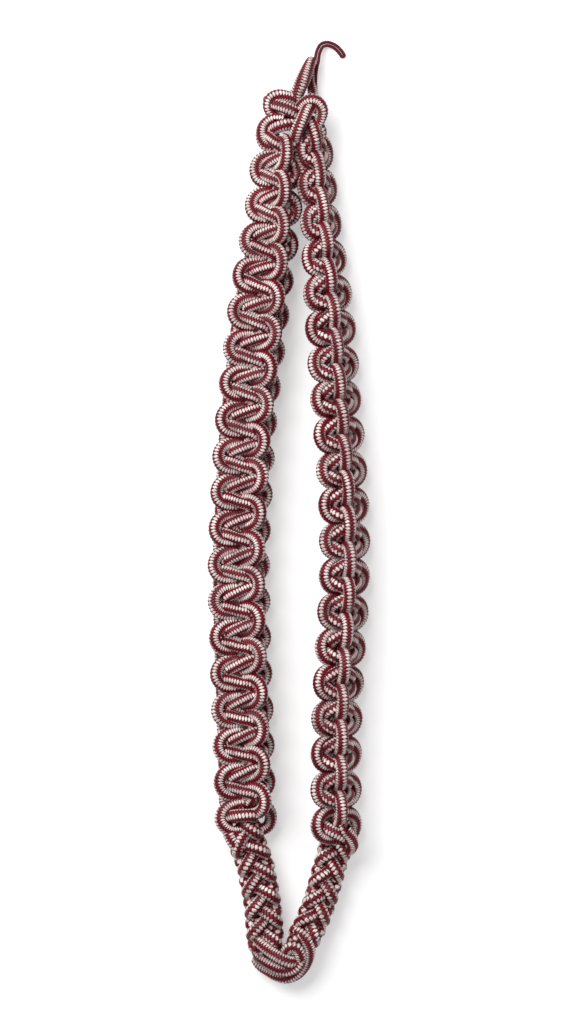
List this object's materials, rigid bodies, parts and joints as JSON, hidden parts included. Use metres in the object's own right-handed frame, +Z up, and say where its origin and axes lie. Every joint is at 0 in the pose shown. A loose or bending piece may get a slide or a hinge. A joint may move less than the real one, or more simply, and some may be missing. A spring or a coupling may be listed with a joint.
{
  "type": "braided shoulder cord",
  "caption": "Closed loop of interlocked two-colour gimp cord with a plaited underarm turn, a knotted head and a thin attachment loop.",
  "frame": {"origin": "centre of the underside's outline, on the surface that the cord lies on, without the thin attachment loop", "axes": "+X across the two legs, +Y from the underarm turn to the head, +Z up from the surface"},
  "size_m": [0.0672, 0.3946, 0.027],
  "materials": {
    "gimp_cord": "satin rayon gimp, maroon and white lengthwise bands wound over a core",
    "thin_cord": "matt dark red braided cord",
    "sewing_thread": "matt dark red sewing thread"
  },
  "bodies": {
    "head_and_underarm": {"head_left_turn_lower": "gimp_cord", "head_left_turn_upper": "gimp_cord", "head_right_turn_lower": "gimp_cord", "head_right_turn_upper": "gimp_cord", "head_seizing_thread": "sewing_thread", "plait_left_upper_left_cord": "gimp_cord", "plait_left_upper_right_cord": "gimp_cord", "plait_left_lower_left_cord": "gimp_cord", "plait_left_lower_right_cord": "gimp_cord", "plait_right_upper_left_cord": "gimp_cord", "plait_right_upper_right_cord": "gimp_cord", "plait_right_lower_left_cord": "gimp_cord", "plait_right_lower_right_cord": "gimp_cord"},
    "left_leg": {"left_leg_upper_left_cord": "gimp_cord", "left_leg_upper_right_cord": "gimp_cord", "left_leg_lower_left_cord": "gimp_cord", "left_leg_lower_right_cord": "gimp_cord"},
    "right_leg": {"right_leg_upper_left_cord": "gimp_cord", "right_leg_upper_right_cord": "gimp_cord", "right_leg_lower_left_cord": "gimp_cord", "right_leg_lower_right_cord": "gimp_cord"},
    "retaining_loop": {"retaining_loop": "gimp_cord", "attachment_loop_stem_left": "thin_cord", "attachment_loop_stem_right": "thin_cord"},
    "attachment_loop": {"attachment_loop_hook": "thin_cord"}
  },
  "joints": [
    {"name": "left_leg_spread", "type": "hinge", "parent": "head_and_underarm", "child": "left_leg", "pos_m": [-0.0022, 0.165, 0.005], "axis": [0, 0, -1], "range_deg": [0, 3]},
    {"name": "right_leg_spread", "type": "hinge", "parent": "head_and_underarm", "child": "right_leg", "pos_m": [0.008, 0.165, 0.005], "axis": [0, 0, 1], "range_deg": [0, 3]},
    {"name": "retaining_loop_swing", "type": "hinge", "parent": "head_and_underarm", "child": "retaining_loop", "pos_m": [0.0056, 0.181, 0.004], "axis": [0, 0, 1], "range_deg": [-10, 10]},
    {"name": "attachment_loop_swing", "type": "hinge", "parent": "retaining_loop", "child": "attachment_loop", "pos_m": [0.0113, 0.1914, 0.001], "axis": [0, 0, 1], "range_deg": [-20, 20]}
  ],
  "couplings": [
    {"joint": "right_leg_spread", "follows": "left_leg_spread", "ratio": 1}
  ]
}
